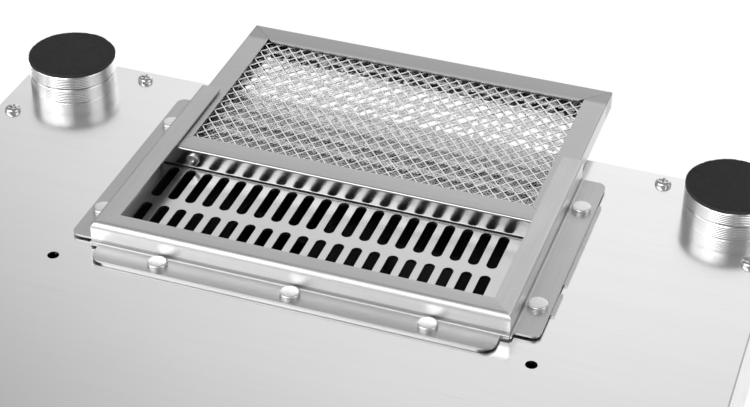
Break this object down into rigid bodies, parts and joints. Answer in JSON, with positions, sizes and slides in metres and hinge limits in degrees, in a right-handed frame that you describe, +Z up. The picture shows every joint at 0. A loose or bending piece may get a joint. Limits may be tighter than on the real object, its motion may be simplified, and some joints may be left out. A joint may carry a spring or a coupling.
{
  "type": "benchtop reflow oven",
  "caption": "Benchtop batch reflow oven on turned levelling feet: wide base with a slide-out air filter underneath, narrower oven above with a windowed board drawer and a rear exhaust collar.",
  "frame": {"origin": "on the bench, under the centre of the box that holds the oven with its filter half drawn", "axes": "+Z up; the front, with the drawer and the controls, faces -Y; looking at the front, +X is on the right"},
  "size_m": [0.4, 0.497, 0.2698],
  "materials": {
    "stainless_sheet": "brushed, fine grain",
    "galvanised_sheet": "satin, cold-rolled sheet",
    "liner_steel": "bright, lightly heat-tinted",
    "rivet_aluminium": "satin, domed",
    "screw_steel": "bright plated",
    "turned_aluminium": "turned, fine grooves",
    "pad_rubber": "matte, cut edge",
    "filter_aluminium": "satin frame, bright mesh",
    "black_plastic": "matte moulded",
    "circuit_board": "green solder mask",
    "heatsink_aluminium": "extruded",
    "mineral_wool": "fibrous",
    "quartz": "clear tube",
    "ceramic": "unglazed",
    "blower_steel": "satin grey",
    "window_glass": "tempered, tinted",
    "seal_silicone": "matte silicone",
    "polished_steel": "polished tube",
    "panel_black": "satin black",
    "knob_aluminium": "knurled, spun face",
    "button_green": "semi-gloss",
    "button_grey": "semi-gloss",
    "button_red": "semi-gloss"
  },
  "bodies": {
    "oven": {"air_plenum": "black_plastic", "base_shell": "stainless_sheet", "blower_motor": "blower_steel", "bottom_panel": "stainless_sheet", "bottom_panel_screws": "screw_steel", "case_screws": "screw_steel", "chamber_liner": "liner_steel", "control_panel": "panel_black", "controller_board": "circuit_board", "cooling_fan_frame": "black_plastic", "display_module": "circuit_board", "exhaust_collar": "galvanised_sheet", "exhaust_duct": "galvanised_sheet", "fan_baffle": "galvanised_sheet", "filter_rail_left": "galvanised_sheet", "filter_rail_packing": "galvanised_sheet", "filter_rail_right": "galvanised_sheet", "filter_rail_rivets": "rivet_aluminium", "filter_rail_stop": "galvanised_sheet", "foot_nuts": "screw_steel", "foot_rings": "turned_aluminium", "front_fascia": "stainless_sheet", "insulation": "mineral_wool", "lamp_ceramics": "ceramic", "mains_inlet": "black_plastic", "power_supply": "heatsink_aluminium", "quartz_lamps": "quartz", "rack_runners": "galvanised_sheet", "rear_panel": "stainless_sheet", "relay_heatsink": "heatsink_aluminium", "switch_housing": "black_plastic", "thermocouple": "liner_steel", "upper_cover": "stainless_sheet"},
    "filter": {"filter_frame": "filter_aluminium", "filter_meshes": "filter_aluminium", "filter_media": "filter_aluminium", "filter_rivet": "rivet_aluminium"},
    "drawer": {"drawer_front": "stainless_sheet", "drawer_glass": "window_glass", "drawer_plug": "liner_steel", "drawer_seal": "seal_silicone", "drawer_handle": "polished_steel", "drawer_bars": "liner_steel", "board_rack": "liner_steel"},
    "cooling_fan": {"cooling_fan_rotor": "black_plastic"},
    "blower": {"blower_wheel": "blower_steel", "blower_shaft": "screw_steel"},
    "knob": {"control_knob": "knob_aluminium"},
    "start_key": {"start_button": "button_green"},
    "select_key": {"select_button": "button_grey"},
    "stop_key": {"stop_button": "button_red"},
    "mains_rocker": {"rocker": "black_plastic"},
    "foot_front_left": {"foot_cap_front_left": "turned_aluminium", "foot_pad_front_left": "pad_rubber"},
    "foot_front_right": {"foot_cap_front_right": "turned_aluminium", "foot_pad_front_right": "pad_rubber"},
    "foot_rear_left": {"foot_cap_rear_left": "turned_aluminium", "foot_pad_rear_left": "pad_rubber"},
    "foot_rear_right": {"foot_cap_rear_right": "turned_aluminium", "foot_pad_rear_right": "pad_rubber"}
  },
  "joints": [
    {"name": "filter_slide", "type": "slide", "parent": "oven", "child": "filter", "axis": [0, -1, 0], "range_m": [-0.072, 0.04]},
    {"name": "drawer_slide", "type": "slide", "parent": "oven", "child": "drawer", "axis": [0, -1, 0], "range_m": [0, 0.16]},
    {"name": "cooling_fan_spin", "type": "hinge", "parent": "oven", "child": "cooling_fan", "pos_m": [0, -0.1185, 0.0393], "axis": [0, 0, 1], "continuous": true},
    {"name": "blower_spin", "type": "hinge", "parent": "oven", "child": "blower", "pos_m": [0, 0.0745, 0.172], "axis": [0, 1, 0], "continuous": true},
    {"name": "knob_turn", "type": "hinge", "parent": "oven", "child": "knob", "pos_m": [0.12, -0.2095, 0.0518], "axis": [0, -1, 0], "continuous": true},
    {"name": "mains_rocker_tip", "type": "hinge", "parent": "oven", "child": "mains_rocker", "pos_m": [-0.128, -0.1965, 0.0518], "axis": [-1, 0, 0], "range_deg": [0, 9]},
    {"name": "start_press", "type": "slide", "parent": "oven", "child": "start_key", "axis": [0, 1, 0], "range_m": [0, 0.0012], "stiffness_N_per_m": 1200},
    {"name": "select_press", "type": "slide", "parent": "oven", "child": "select_key", "axis": [0, 1, 0], "range_m": [0, 0.0012], "stiffness_N_per_m": 1200},
    {"name": "stop_press", "type": "slide", "parent": "oven", "child": "stop_key", "axis": [0, 1, 0], "range_m": [0, 0.0012], "stiffness_N_per_m": 1200},
    {"name": "foot_front_left_level", "type": "slide", "parent": "oven", "child": "foot_front_left", "axis": [0, 0, -1], "range_m": [0, 0.006]},
    {"name": "foot_front_right_level", "type": "slide", "parent": "oven", "child": "foot_front_right", "axis": [0, 0, -1], "range_m": [0, 0.006]},
    {"name": "foot_rear_left_level", "type": "slide", "parent": "oven", "child": "foot_rear_left", "axis": [0, 0, -1], "range_m": [0, 0.006]},
    {"name": "foot_rear_right_level", "type": "slide", "parent": "oven", "child": "foot_rear_right", "axis": [0, 0, -1], "range_m": [0, 0.006]}
  ]
}
